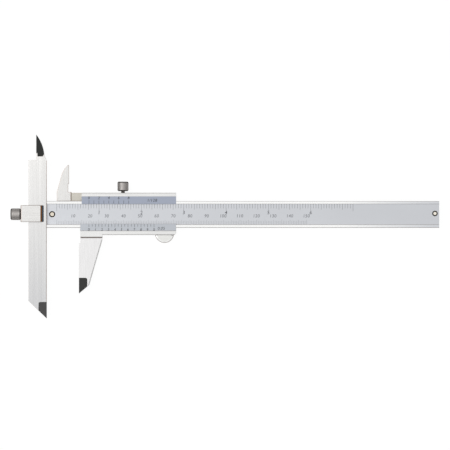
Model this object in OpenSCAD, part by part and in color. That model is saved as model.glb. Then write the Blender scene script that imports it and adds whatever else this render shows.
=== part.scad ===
// Offset vernier caliper lying on its back.
// X runs along the beam, Y across it and Z out of the graduated face.
// Every module is drawn from the offset bar's measuring face (X = 0) and the
// middle of the beam (Y = 0); place() then moves it to the part's own origin.

/* [Beam] */
// Length of the beam, from the bar's measuring face to its free end
beam_len = 235.5; // [215:0.5:320]
// Height of the beam over its two guide edges
beam_h = 16; // [15:0.25:18]
// Thickness of the beam
beam_t = 3.5; // [3:0.1:4.2]
// Width of the bright rail along the upper edge
upper_rail_w = 1.75; // [1.2:0.05:2.2]
// Width of the bright rail along the lower edge
lower_rail_w = 2; // [1.4:0.05:2.4]
// Depth of the satin face below the rails
face_depth = 0.25; // [0.1:0.05:0.4]
// Distance between the two measuring faces, which is the reading
reading = 19.4; // [2:0.1:150]

/* [Offset bar] */
// Width of the bar
bar_w = 10.8; // [9:0.1:13]
// Thickness of the bar
bar_t = 3.95; // [3.5:0.05:4.5]
// Height of the bar's square end above the middle of the beam
bar_top = 32.7; // [28:0.1:45]
// Depth of the bar's measuring point below the middle of the beam
bar_reach = 62.3; // [56:0.1:80]
// Angle of the cut that forms the lower point, from level
point_cut = 44; // [35:1:50]
// Height of the upper point above the square end
upper_point_h = 15.15; // [12:0.05:20]
// Distance of the inside measuring edge from the outside measuring face
inside_edge = 6.2; // [5:0.1:7.5]

/* [Hard tips] */
// Width of the hard tip in the bar's lower point
bar_tip_w = 4.8; // [3.5:0.1:6]
// Height of the hard tip above the bar's lower point
bar_tip_h = 9.8; // [8:0.1:12]
// Width of the hard tip in the slider's jaw
jaw_tip_w = 5; // [3.5:0.1:5.5]
// Height of the hard tip above the slider jaw's point
jaw_tip_h = 9.4; // [7:0.1:12]
// Distance of each tip's faces inside the faces of the steel
tip_inset = 0.35; // [0.1:0.05:0.8]
// Radius of a tip's seat in its inner corner
tip_corner = 1; // [0.6:0.1:1.4]

/* [End clamp] */
// Height of the clamp body
clamp_h = 10.05; // [8:0.05:11]
// Thickness of the clamp's wall round the screw
clamp_wall = 2.65; // [2:0.05:5]
// Thickness of the clamp's front wall
clamp_front_t = 2; // [1.5:0.1:3]
// Thickness of the lug that lies in the back of the beam
lug_t = 1.4; // [1:0.1:1.7]
// Length of that lug
lug_len = 6.4; // [5.5:0.1:9]
// Diameter of the pin through the lug and the beam
clamp_pin_d = 2.3; // [1.5:0.1:2.6]
// Diameter of the clamp screw's head
clamp_head_d = 7; // [6:0.1:8]
// Length of the clamp screw's head
clamp_head_len = 5.95; // [4:0.05:8]
// Diameter of the clamp screw's shank
clamp_shank_d = 3; // [2.4:0.1:3.4]
// Thickness of the shoe between the clamp screw and the bar
shoe_t = 1.2; // [1:0.05:2]

/* [Slider body] */
// Length of the slider
slider_len = 57.4; // [50:0.1:70]
// Thickness of the slider from back to front
slider_t = 8; // [7.8:0.1:9]
// Thickness of the wall behind the beam
back_t = 1.95; // [1.5:0.05:2.5]
// Thickness of the wall above the gib
top_wall = 3.45; // [3:0.05:5]
// Thickness of the wall below the beam
bottom_wall = 4.25; // [3.5:0.05:5]
// Height of the bright flat above the upper vernier
upper_flat = 2.2; // [1.5:0.1:3]
// Height of the bright flat below the lower vernier
lower_flat = 2.4; // [1.5:0.1:3]
// Thickness of the lips that hold the beam in
lip_t = 0.55; // [0.4:0.05:0.9]

/* [Slider jaw] */
// Depth of the jaw's point below the middle of the beam
jaw_reach = 47.4; // [40:0.1:60]
// Width of the jaw at its root
jaw_root_w = 14; // [12:0.1:18]
// Width of the steel behind the hard tip at the jaw's foot
jaw_heel = 1.15; // [0.8:0.05:2]
// Angle of the cut that forms the jaw's point, from level
jaw_cut = 40; // [35:1:50]
// Width of the chamfer along the jaw's back edge
jaw_chamfer = 0.5; // [0.3:0.1:1.2]
// Height of the relief above the measuring face
jaw_relief_h = 3.1; // [2:0.1:5]

/* [Inside jaw] */
// Height of the inside jaw's point above the middle of the beam
inside_top = 29.7; // [26:0.1:36]
// Thickness of the inside jaw
inside_t = 3.2; // [2.8:0.05:3.3]
// Thickness of the arm that carries it
arm_t = 2.4; // [2:0.05:2.5]
// Width of the inside jaw at its foot
inside_w = 7.2; // [6.5:0.1:9]

/* [Gib and lock] */
// Thickness of the gib strip
gib_t = 1.45; // [1:0.05:1.8]
// Diameter of the gib's set screws
gib_screw_d = 2.4; // [2:0.1:2.8]
// Distance of the lock screw from the jaw's measuring face
lock_x = 26.35; // [22:0.05:34]
// Diameter of the lock screw's head
lock_head_d = 6.65; // [5.5:0.05:7.5]
// Length of the lock screw's head
lock_head_len = 5.6; // [4:0.05:8]
// Diameter of the lock screw's shank
lock_shank_d = 2.4; // [2:0.1:2.8]
// Thickness of the brass pad under the lock screw
pad_t = 1.05; // [0.8:0.05:1.4]
// Number of ridges round a knurled head
knurl_count = 36; // [20:1:48]
// Depth of the knurl
knurl_depth = 0.28; // [0.15:0.01:0.4]

/* [Thumb rest] */
// Distance of the thumb rest's middle from the slider's free end
thumb_in = 6.9; // [6:0.1:14]
// Radius of the thumb rest
thumb_r = 5.65; // [4.5:0.05:7]
// Thickness of the thumb rest
thumb_t = 4.4; // [3.5:0.1:5]

/* [Fits] */
// Running clearance of the slides and shanks, on each side
run_gap = 0.05; // [0.03:0.01:0.08]
// Clearance of pieces that are fixed to each other
fit_gap = 0.01; // [0.005:0.005:0.02]

/* [Hidden] */
$fn = 64;
eps = 0.5;

// heights above the back
beam_z = back_t + run_gap;
beam_top = beam_z + beam_t;
bar_z = beam_z + lug_t + run_gap;
bar_top_z = bar_z + bar_t;
bar_mid_z = bar_z + bar_t / 2;
clamp_t = bar_top_z + run_gap + clamp_front_t;
lip_z = beam_top + run_gap;
seat_z = lip_z + lip_t;
slider_mid_z = slider_t / 2;

// satin face of the beam
face_y0 = lower_rail_w - beam_h / 2;
face_y1 = beam_h / 2 - upper_rail_w;

// end clamp
clamp_y = 0.5;
clamp_y0 = clamp_y - clamp_h / 2;
clamp_screw_y = 0.15;
shoe_travel = 0.75;
shoe_x1 = -bar_w - run_gap;
shoe_x0 = shoe_x1 - shoe_t;
clamp_in_x = shoe_x0 - shoe_travel - run_gap;
clamp_x0 = clamp_in_x - clamp_wall;
clamp_bevel_x = -3.6;
clamp_front_x = -1.68;
clamp_foot_x = -0.2;
clamp_edge = 0.4;
clamp_head_gap = 0.15;
shoe_h = 7.8;
dog_d = 2;
dog_len = 0.5;
clamp_pin_x = lug_len / 2 + run_gap;
pin_ring = 0.7;
stop_pin_d = 1.9;
stop_ring = 0.7;
stop_pin_in = 2.55;
stop_pin_x = beam_len - stop_pin_in;
stop_pin_y = 0.6;
stop_depth = 1.1;

// upper point of the bar
neck_gap = 0.75;
neck_h = 2.1;
neck_foot = 2;
shoulder_drop = 0.5;
point_back_r = 22.5;
upper_point_w = 4.7;
upper_back_h = 11.8;
upper_tip_y = bar_top + upper_point_h;
upper_seat_y = bar_top + neck_h;
upper_tip_corner = 0.8;

// lower point of the bar
bar_corner_y = -bar_reach + bar_w * tan(point_cut);

// slider section
slider_x0 = 0.8;
slider_edge = 0.3;
slider_corner = 0.9;
upper_x0 = slider_x0 + 0.85;
gib_gap = 0.03;
gib_y0 = beam_h / 2 + gib_gap;
gib_y1 = gib_y0 + gib_t;
channel_y0 = -beam_h / 2 - run_gap;
channel_y1 = gib_y1 + run_gap;
slider_y0 = channel_y0 - bottom_wall;
slider_y1 = channel_y1 + top_wall;
window_y0 = face_y0 + 0.3;
window_y1 = face_y1 + 0.05;
upper_plate_y1 = slider_y1 - upper_flat;
lower_plate_y0 = slider_y0 + lower_flat;
plate_edge_t = 0.3;
plate_step = 0.25;
plate_back_t = slider_t - plate_step - seat_z;

// slider jaw
root_drop = 1.1;
groove_w = 0.8;
groove_depth = 0.9;
relief_depth = 0.9;
root_y = slider_y0 - root_drop;
jaw_top_y = root_y - groove_w;
face_top_y = jaw_top_y - jaw_relief_h;
jaw_lead = 1;
jaw_seat_y = -jaw_reach + jaw_tip_h;
jaw_slope_top = jaw_top_y - jaw_lead;
jaw_foot_x = jaw_tip_w + jaw_heel;
jaw_foot_y = -jaw_reach + jaw_foot_x * tan(jaw_cut);
jaw_taper = atan2(jaw_root_w - jaw_foot_x, jaw_slope_top - jaw_foot_y);

// inside jaw and its arm
arm_y0 = beam_h / 2 + 0.1;
arm_x0 = -4.7;
arm_x1 = 14;
arm_rebate_z = arm_t + fit_gap;
inside_x0 = -inside_edge - inside_w;
inside_knee = 3.4;
inside_relief = 0.5;
inside_foot_y = slider_y1 + 0.5;
inside_relief_h = 4.8;
inside_relief_top = inside_foot_y + inside_relief_h;
inside_point_w = 0.5;
arm_screw_d = 1.8;
arm_screw_head = 3.2;
arm_screw_len = 5;
arm_screw_in = 2.8;
arm_screw_xs = [upper_x0 + arm_screw_in, arm_x1 - arm_screw_in];
arm_screw_down = 1.9;
arm_screw_y = slider_y1 - arm_screw_down;
arm_screw_sink = 0.1;
arm_slot_w = 0.4;
arm_slot_depth = 0.35;

// gib and lock
gib_z0 = arm_t + 0.2;
gib_z1 = beam_top - 0.1;
gib_end = 1.2;
gib_screw_in = 15.5;
gib_screw_xs = [upper_x0 + gib_screw_in, slider_x0 + slider_len - gib_screw_in];
gib_screw_bite = 0.35;
gib_screw_sink = 0.3;
gib_slot_w = 0.5;
gib_slot_depth = 0.6;
gib_screw_z = (gib_z0 + gib_z1) / 2;
lock_neck = 1.1;
pad_y0 = channel_y1;
pad_y1 = pad_y0 + pad_t;
head_chamfer = 0.6;
head_margin = 0.15;
tip_gap = 0.02;

// thumb rest
thumb_x = slider_x0 + slider_len - thumb_in;
thumb_rise = 0.9;
thumb_y = slider_y0 + thumb_rise;
thumb_z0 = slider_mid_z - thumb_t / 2;
thumb_rim_w = 1;
thumb_rim_h = 0.35;
tenon_w = 5;
tenon_h = 2;
tenon_t = 2.4;
thumb_pin_d = 1.5;
thumb_pin_y = slider_y0 + tenon_h / 2;

// the part's own origin: under the middle of the box that holds it
head_out_x = clamp_x0 - clamp_head_gap - clamp_head_len;
mid_x = (head_out_x + beam_len) / 2;
mid_y = (upper_tip_y - bar_reach) / 2;

steel = [0.86, 0.86, 0.87];
satin = [0.74, 0.76, 0.79];
plate_blue = [0.62, 0.67, 0.74];
hard_grey = [0.2, 0.2, 0.21];
dark_steel = [0.4, 0.39, 0.38];
brass = [0.75, 0.62, 0.36];

// points of an arc from a to b, bulging to the right of that way
function arc_points(a, b, r, n = 8) =
    let (half = norm(b - a) / 2,
         side = [b[1] - a[1], a[0] - b[0]] / (2 * half),
         centre = (a + b) / 2 - side * sqrt(r * r - half * half),
         start = atan2(a[1] - centre[1], a[0] - centre[0]),
         sweep = 2 * asin(half / r))
    [for (i = [0:n]) centre + r * [cos(start + sweep * i / n), sin(start + sweep * i / n)]];

// quarter-round of radius r at corner p, between its sides towards from and towards to
function corner_points(p, r, from, to, n = 6) =
    let (centre = p + r * (from + to))
    [for (i = [0:n]) centre - r * (sin(90 * i / n) * from + cos(90 * i / n) * to)];

function reversed(p) = [for (i = [1:len(p)]) p[len(p) - i]];

module place() translate([-mid_x, -mid_y, 0]) children();

module on_slider() translate([reading, 0, 0]) children();

// runs a shape drawn in Y and Z along X
module along_x(x0, len) translate([x0, 0, 0]) rotate([90, 0, 90]) linear_extrude(len) children();

// runs a shape drawn in X and Z along Y
module along_y(y0, len) translate([0, y0 + len, 0]) rotate([90, 0, 0]) linear_extrude(len) children();

module rod_x(x0, x1, y, z, d) translate([x0, y, z]) rotate([0, 90, 0]) cylinder(d = d, h = x1 - x0);

module rod_y(y0, y1, x, z, d) translate([x, y0, z]) rotate([-90, 0, 0]) cylinder(d = d, h = y1 - y0);

// knurled thumb head standing on z = 0, chamfered at both ends
module knurled_head(d, len) intersection() {
    translate([0, 0, -eps]) linear_extrude(len + 2 * eps) polygon([for (i = [0:2 * knurl_count - 1])
        (d / 2 - (i % 2) * knurl_depth) * [cos(180 * i / knurl_count), sin(180 * i / knurl_count)]]);
    rotate_extrude() polygon([
        [0, 0], [d / 2 - head_chamfer, 0], [d / 2 + head_margin, head_chamfer + head_margin],
        [d / 2 + head_margin, len - head_chamfer - head_margin], [d / 2 - head_chamfer, len], [0, len]]);
}

module beam() color(satin) difference() {
    translate([run_gap, -beam_h / 2, beam_z]) cube([beam_len - run_gap, beam_h, beam_t]);
    translate([-eps, face_y0, beam_top - face_depth])
        cube([beam_len + 2 * eps, face_y1 - face_y0, face_depth + eps]);
    translate([-eps, clamp_y0 - fit_gap, beam_z - eps])
        cube([lug_len + fit_gap + eps, clamp_h + 2 * fit_gap, lug_t + fit_gap + eps]);
    ringed_hole(clamp_pin_x, clamp_screw_y, clamp_pin_d, pin_ring);
    ringed_hole(stop_pin_x, stop_pin_y, stop_pin_d, stop_ring);
}

// pin hole in the beam whose mouth is countersunk in the satin face
module ringed_hole(x, y, d, ring) translate([x, y, 0]) {
    translate([0, 0, beam_z - eps]) cylinder(d = d + 2 * fit_gap, h = beam_t + 2 * eps);
    translate([0, 0, beam_top - face_depth - ring])
        cylinder(r1 = d / 2 + fit_gap, r2 = d / 2 + fit_gap + 2 * ring, h = 2 * ring);
}

module clamp_body() color(steel) difference() {
    along_y(clamp_y0, clamp_h) polygon([
        [clamp_x0, 0], [clamp_foot_x, 0], [clamp_foot_x, beam_z], [lug_len, beam_z],
        [lug_len, beam_z + lug_t], [clamp_in_x, beam_z + lug_t],
        [clamp_in_x, bar_top_z + run_gap], [clamp_front_x, bar_top_z + run_gap],
        [clamp_bevel_x, clamp_t], [clamp_x0 + clamp_edge, clamp_t],
        [clamp_x0, clamp_t - clamp_edge]]);
    rod_x(clamp_x0 - eps, clamp_in_x + eps, clamp_screw_y, bar_mid_z, clamp_shank_d + 2 * run_gap);
    translate([clamp_pin_x, clamp_screw_y, beam_z - eps])
        cylinder(d = clamp_pin_d + 2 * fit_gap, h = lug_t + 2 * eps);
}

module clamp_pin() color(steel) translate([clamp_pin_x, clamp_screw_y, beam_z + fit_gap])
    cylinder(d = clamp_pin_d, h = beam_t - face_depth - 2 * fit_gap);

module stop_pin() color(steel) translate([stop_pin_x, stop_pin_y, beam_z - stop_depth]) {
    cylinder(d = stop_pin_d, h = beam_t + stop_depth - face_depth - fit_gap);
    cylinder(d = stop_pin_d + 2 * stop_ring, h = stop_depth - fit_gap);
}

// edge of the lower tip's seat, from the measuring face to the point's cut
function lower_seat_points() = concat(
    [[0, -bar_reach + bar_tip_h]],
    corner_points([-bar_tip_w, -bar_reach + bar_tip_h], tip_corner, [1, 0], [0, -1]),
    [[-bar_tip_w, -bar_reach + bar_tip_w * tan(point_cut)]]);

// curved back of the upper tip, and the edge of its seat from there to the inside edge
function upper_back_points() = arc_points(
    [-inside_edge + upper_point_w, upper_tip_y - upper_back_h], [-inside_edge, upper_tip_y], point_back_r);

function upper_seat_points() = [
    [-inside_edge + upper_point_w - upper_tip_corner, upper_seat_y],
    [-inside_edge + neck_gap, upper_seat_y], [-inside_edge + neck_gap, upper_seat_y + neck_foot],
    [-inside_edge, upper_seat_y + neck_foot]];

// edge of the seat in the slider's jaw, from the measuring face to the jaw's cut
function jaw_seat_points() = concat(
    [[0, jaw_seat_y]],
    reversed(corner_points([jaw_tip_w, jaw_seat_y], tip_corner, [0, -1], [-1, 0])),
    [[jaw_tip_w, -jaw_reach + jaw_tip_w * tan(jaw_cut)]]);

module hard_tip() color(hard_grey) translate([0, 0, bar_z + tip_inset])
    linear_extrude(bar_t - 2 * tip_inset) children();

module offset_bar() color(steel) translate([0, 0, bar_z]) linear_extrude(bar_t) polygon(concat(
    [[0, bar_top - shoulder_drop], upper_back_points()[0]], upper_seat_points(),
    [[-inside_edge, bar_top], [-bar_w, bar_top], [-bar_w, bar_corner_y]],
    reversed(lower_seat_points())));

module bar_lower_tip() hard_tip() polygon(concat([[0, -bar_reach]], lower_seat_points()));

module bar_upper_tip() hard_tip() polygon(concat(upper_back_points(), reversed(upper_seat_points())));

module clamp_shoe() color(brass) difference() {
    translate([shoe_x0, clamp_y - shoe_h / 2, bar_z]) cube([shoe_t, shoe_h, bar_t]);
    rod_x(shoe_x0 - eps, shoe_x0 + dog_len + run_gap, clamp_screw_y, bar_mid_z, dog_d + 2 * run_gap);
}

module clamp_screw() color(dark_steel) {
    translate([clamp_x0 - clamp_head_gap, clamp_screw_y, bar_mid_z]) rotate([0, -90, 0])
        knurled_head(clamp_head_d, clamp_head_len);
    rod_x(clamp_x0 - clamp_head_gap - 1, shoe_x0 - tip_gap, clamp_screw_y, bar_mid_z, clamp_shank_d);
    rod_x(shoe_x0 - clamp_wall, shoe_x0 + dog_len, clamp_screw_y, bar_mid_z, dog_d);
}

// section of the slider round the beam and the gib, open at the front window
module slider_section() difference() {
    polygon([[slider_y0 + slider_edge, 0], [slider_y1 - slider_edge, 0], [slider_y1, slider_edge],
        [slider_y1, slider_t - slider_edge], [slider_y1 - slider_edge, slider_t],
        [slider_y0 + slider_edge, slider_t], [slider_y0, slider_t - slider_edge],
        [slider_y0, slider_edge]]);
    translate([channel_y0, back_t]) square([channel_y1 - channel_y0, lip_z - back_t]);
    translate([window_y0, lip_z - eps]) square([window_y1 - window_y0, slider_t]);
    translate([lower_plate_y0, seat_z]) square([upper_plate_y1 - lower_plate_y0, slider_t]);
}

module jaw_outline() polygon(concat(
    [[relief_depth, root_y + eps], [relief_depth, face_top_y], [0, face_top_y]], jaw_seat_points(),
    [[jaw_foot_x, jaw_foot_y], [jaw_root_w, jaw_slope_top], [jaw_root_w, root_y + eps]]));

module slider_body() color(steel) on_slider() difference() {
    union() {
        along_x(slider_x0, slider_len) slider_section();
        translate([slider_x0, root_y, back_t])
            cube([jaw_root_w - slider_x0, root_drop + eps, slider_t - back_t]);
        translate([0, 0, bar_z]) linear_extrude(bar_t) jaw_outline();
    }
    // the upper half of the slider starts a little further from the jaw's face
    translate([0, window_y1 - eps, -eps]) cube([upper_x0, slider_y1, slider_t + 2 * eps]);
    // the slider's lower corner at its free end is cut off
    translate([slider_x0 + slider_len, slider_y0, -eps]) linear_extrude(slider_t + 2 * eps)
        polygon([[-slider_corner - eps, -eps], [eps, -eps], [eps, slider_corner + eps]]);
    // groove between the root and the jaw
    translate([-eps, jaw_top_y, bar_top_z - groove_depth]) cube([jaw_root_w + 2 * eps, groove_w, slider_t]);
    // chamfer along the jaw's back edge
    translate([jaw_root_w, jaw_slope_top, bar_top_z]) rotate([0, 0, -jaw_taper]) rotate([0, 45, 0])
        translate([-jaw_chamfer / sqrt(2), -2 * jaw_reach, -jaw_chamfer / sqrt(2)])
        cube([2 * jaw_chamfer, 2 * jaw_reach, 2 * jaw_chamfer]);
    // rebate for the inside jaw's arm, and its two screws
    translate([0, arm_y0 - fit_gap, -eps]) cube([arm_x1 + fit_gap, slider_y1, arm_rebate_z + eps]);
    for (x = arm_screw_xs) translate([x, arm_screw_y, 0])
        cylinder(d = arm_screw_d + 2 * fit_gap, h = arm_screw_len + fit_gap);
    // lock screw and gib screws in the upper wall
    rod_y(channel_y1 - eps, slider_y1 + eps, lock_x, slider_mid_z, lock_shank_d + 2 * run_gap);
    for (x = gib_screw_xs)
        rod_y(channel_y1 - eps, slider_y1 + eps, x, gib_screw_z, gib_screw_d + 2 * fit_gap);
    // slot and pin hole for the thumb rest in the lower wall
    translate([thumb_x - tenon_w / 2 - fit_gap, slider_y0 - eps, slider_mid_z - tenon_t / 2 - fit_gap])
        cube([tenon_w + 2 * fit_gap, tenon_h + fit_gap + eps, tenon_t + 2 * fit_gap]);
    translate([thumb_x, thumb_pin_y, -eps])
        cylinder(d = thumb_pin_d + 2 * fit_gap, h = slider_mid_z + tenon_t / 2 + 2 * eps);
}

module slider_jaw_tip() on_slider() hard_tip() polygon(concat([[0, -jaw_reach]], jaw_seat_points()));

module inside_jaw() color(steel) on_slider() difference() {
    union() {
        translate([arm_x0, arm_y0, 0]) cube([arm_x1 - arm_x0, slider_y1 - arm_y0, arm_t]);
        linear_extrude(inside_t) polygon([
            [inside_x0, arm_y0], [arm_x0, arm_y0], [arm_x0, inside_foot_y],
            [-inside_edge - inside_relief, inside_foot_y],
            [-inside_edge - inside_relief, inside_relief_top], [-inside_edge, inside_relief_top],
            [-inside_edge, inside_top], [-inside_edge - inside_point_w, inside_top],
            [-inside_edge - 0.75 * inside_knee, inside_top - 0.65 * inside_knee],
            [-inside_edge - 1.2 * inside_knee, inside_top - 1.5 * inside_knee],
            [inside_x0, inside_foot_y]]);
    }
    for (x = arm_screw_xs) translate([x, arm_screw_y, -eps]) {
        cylinder(d = arm_screw_d + 2 * fit_gap, h = arm_t + 2 * eps);
        cylinder(d1 = arm_screw_head + 2 * eps, d2 = arm_screw_d,
            h = eps + (arm_screw_head - arm_screw_d) / 2);
    }
}

module inside_jaw_screws() color(dark_steel) on_slider() for (x = arm_screw_xs)
    translate([x, arm_screw_y, arm_screw_sink]) difference() {
        union() {
            cylinder(d1 = arm_screw_head - 2 * arm_screw_sink, d2 = arm_screw_d - 2 * arm_screw_sink,
                h = (arm_screw_head - arm_screw_d) / 2);
            cylinder(d = arm_screw_d, h = arm_screw_len - 2 * arm_screw_sink);
        }
        translate([-arm_screw_head, -arm_slot_w / 2, -eps])
            cube([2 * arm_screw_head, arm_slot_w, eps + arm_slot_depth]);
    }

// vernier plate: a bevelled strip lying on a lip, thin at the window's edge
module vernier_plate(thin_y, thick_y) color(plate_blue) on_slider()
    along_x(thin_y > 0 ? upper_x0 : slider_x0, slider_x0 + slider_len - (thin_y > 0 ? upper_x0 : slider_x0))
    polygon([[thin_y, seat_z], [thick_y, seat_z], [thick_y, seat_z + plate_back_t],
        [thin_y, seat_z + plate_edge_t]]);

module upper_vernier_plate() vernier_plate(window_y1, upper_plate_y1);

module lower_vernier_plate() vernier_plate(window_y0, lower_plate_y0);

module gib_strip() color(brass) on_slider() difference() {
    translate([upper_x0 + gib_end, gib_y0, gib_z0])
        cube([slider_x0 + slider_len - upper_x0 - 2 * gib_end, gib_t, gib_z1 - gib_z0]);
    for (x = gib_screw_xs)
        rod_y(gib_y1 - gib_screw_bite, gib_y1 + eps, x, gib_screw_z, gib_screw_d + 2 * run_gap);
}

module gib_screws() color(dark_steel) on_slider() for (x = gib_screw_xs) difference() {
    rod_y(gib_y1 - gib_screw_bite + run_gap, slider_y1 - gib_screw_sink, x, gib_screw_z, gib_screw_d);
    translate([x - gib_slot_w / 2, slider_y1 - gib_screw_sink - gib_slot_depth, gib_screw_z - gib_screw_d])
        cube([gib_slot_w, gib_slot_depth + eps, 2 * gib_screw_d]);
}

module lock_pad() color(brass) on_slider() rod_y(pad_y0, pad_y1, lock_x, slider_mid_z, lock_shank_d);

module lock_screw() color(dark_steel) on_slider() {
    rod_y(pad_y1 + tip_gap, slider_y1 + lock_neck + 1, lock_x, slider_mid_z, lock_shank_d);
    translate([lock_x, slider_y1 + lock_neck, slider_mid_z]) rotate([-90, 0, 0])
        knurled_head(lock_head_d, lock_head_len);
}

module thumb_rest() color(steel) on_slider() difference() {
    union() {
        intersection() {
            translate([thumb_x, thumb_y, thumb_z0]) rotate_extrude() polygon([
                [0, 0], [thumb_r - thumb_rim_w, 0], [thumb_r, thumb_rim_h],
                [thumb_r, thumb_t - thumb_rim_h], [thumb_r - thumb_rim_w, thumb_t], [0, thumb_t]]);
            translate([thumb_x - thumb_r, slider_y0 - 2 * thumb_r, 0])
                cube([2 * thumb_r, 2 * thumb_r - fit_gap, slider_t]);
        }
        translate([thumb_x - tenon_w / 2, slider_y0 - tenon_h, slider_mid_z - tenon_t / 2])
            cube([tenon_w, 2 * tenon_h, tenon_t]);
    }
    translate([thumb_x, thumb_pin_y, 0]) cylinder(d = thumb_pin_d + 2 * fit_gap, h = slider_t);
}

module thumb_rest_pin() color(steel) on_slider() translate([thumb_x, thumb_pin_y, run_gap])
    cylinder(d = thumb_pin_d, h = slider_mid_z + tenon_t / 2 + eps - 2 * run_gap);

place() beam();
place() clamp_body();
place() clamp_pin();
place() stop_pin();
place() offset_bar();
place() bar_lower_tip();
place() bar_upper_tip();
place() clamp_shoe();
place() clamp_screw();
place() slider_body();
place() slider_jaw_tip();
place() inside_jaw();
place() inside_jaw_screws();
place() upper_vernier_plate();
place() lower_vernier_plate();
place() gib_strip();
place() gib_screws();
place() lock_pad();
place() lock_screw();
place() thumb_rest();
place() thumb_rest_pin();
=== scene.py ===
import math

import bmesh
import bpy
from mathutils import Matrix, Vector


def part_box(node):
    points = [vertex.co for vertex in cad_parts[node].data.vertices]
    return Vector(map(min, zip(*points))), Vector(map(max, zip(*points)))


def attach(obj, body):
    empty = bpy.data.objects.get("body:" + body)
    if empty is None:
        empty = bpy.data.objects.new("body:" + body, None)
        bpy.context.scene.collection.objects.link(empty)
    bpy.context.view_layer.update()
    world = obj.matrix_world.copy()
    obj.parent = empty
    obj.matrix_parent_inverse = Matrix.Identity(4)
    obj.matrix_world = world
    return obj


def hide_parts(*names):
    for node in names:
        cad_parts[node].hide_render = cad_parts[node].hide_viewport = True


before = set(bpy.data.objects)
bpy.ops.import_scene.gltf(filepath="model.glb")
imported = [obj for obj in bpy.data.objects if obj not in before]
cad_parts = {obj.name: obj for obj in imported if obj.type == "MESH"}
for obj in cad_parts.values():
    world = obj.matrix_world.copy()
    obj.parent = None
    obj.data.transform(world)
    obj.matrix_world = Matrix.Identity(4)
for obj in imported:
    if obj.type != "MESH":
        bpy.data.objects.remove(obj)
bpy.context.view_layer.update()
mm = 0.001
inch = 25.4
near = 0.02                                 # places that are closer than this are one


# places that the frame gives, in millimetres

def boxOf(node):
    return [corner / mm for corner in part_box(node)]


def cornersOf(node):
    return [vertex.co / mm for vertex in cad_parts[node].data.vertices]


barBox = boxOf("offset_bar")
beamBox = boxOf("beam")
measureX = barBox[1].x                      # the offset bar's measuring face
jawX = boxOf("slider_jaw_tip")[0].x         # the slider's measuring face
beamY = (beamBox[0].y + beamBox[1].y) / 2
print("frame: the jaws stand", round(jawX - measureX, 2), "mm apart")


# node trees

def socket(sockets, name):
    # a place or an identifier picks it, because a node can have several sockets of one name
    if isinstance(name, int):
        return sockets[name]
    return next((item for item in sockets if item.identifier == name), None) or sockets[name]


def fill(node, fields):
    # a field takes a value, a socket, or a node, which stands for its first output
    for name, value in fields.items():
        field = socket(node.inputs, name)
        if isinstance(value, bpy.types.Node):
            value = value.outputs[0]
        if isinstance(value, bpy.types.NodeSocket):
            node.id_data.links.new(value, field)
        else:
            field.default_value = value


def addNode(tree, kind, fields=None, **settings):
    node = tree.nodes.new(kind)
    for name, value in settings.items():
        setattr(node, name, value)
    fill(node, fields or {})
    return node


def maths(tree, operation, *values):
    return addNode(tree, "ShaderNodeMath", dict(enumerate(values)), operation=operation)


def mapRange(tree, value, fromLow, fromHigh, toLow=0, toHigh=1):
    return addNode(tree, "ShaderNodeMapRange", {
        "Value": value, "From Min": fromLow, "From Max": fromHigh, "To Min": toLow,
        "To Max": toHigh})


def arrange(tree):
    # sets the nodes in columns, each to the left of those that it feeds
    columnWidth, rowHeight = 220, 280
    columns, rows = {}, {}

    def columnOf(node):
        if node.name not in columns:
            fed = [link.to_node for output in node.outputs for link in output.links]
            columns[node.name] = 1 + max(map(columnOf, fed), default=-1)
        return columns[node.name]

    for node in tree.nodes:
        column = columnOf(node)
        rows[column] = rows.get(column, -1) + 1
        node.location = (-columnWidth * column, -rowHeight * rows[column])


# finishes

def linear(value):
    # 0-255 on screen to the shader's own scale
    value /= 255
    return value / 12.92 if value <= 0.04045 else ((value + 0.055) / 1.055) ** 2.4


def tone(red, green, blue):
    return (linear(red), linear(green), linear(blue), 1)


metalLook = {                       # what a metal has where its own look says nothing else
    "patchScale": 40, "patchShare": 0.4, "change": 0.05, "bump": 0.04,
    "edgeTint": (1, 1, 1, 1),       # seen along the surface
    "shadeReach": 0.16, "grainReach": 0.2,          # how far noise strays from its middle
    "roughChange": 0.05,
    "bumpHeight": 0.02,
}
evenGrain = (900, 900, 900)


def newMaterial(name):
    material = bpy.data.materials.new(name)
    material.use_nodes = True
    tree = material.node_tree
    tree.nodes.clear()
    shader = addNode(tree, "ShaderNodeBsdfPrincipled")
    addNode(tree, "ShaderNodeOutputMaterial", {"Surface": shader})
    return material, tree, shader


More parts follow.
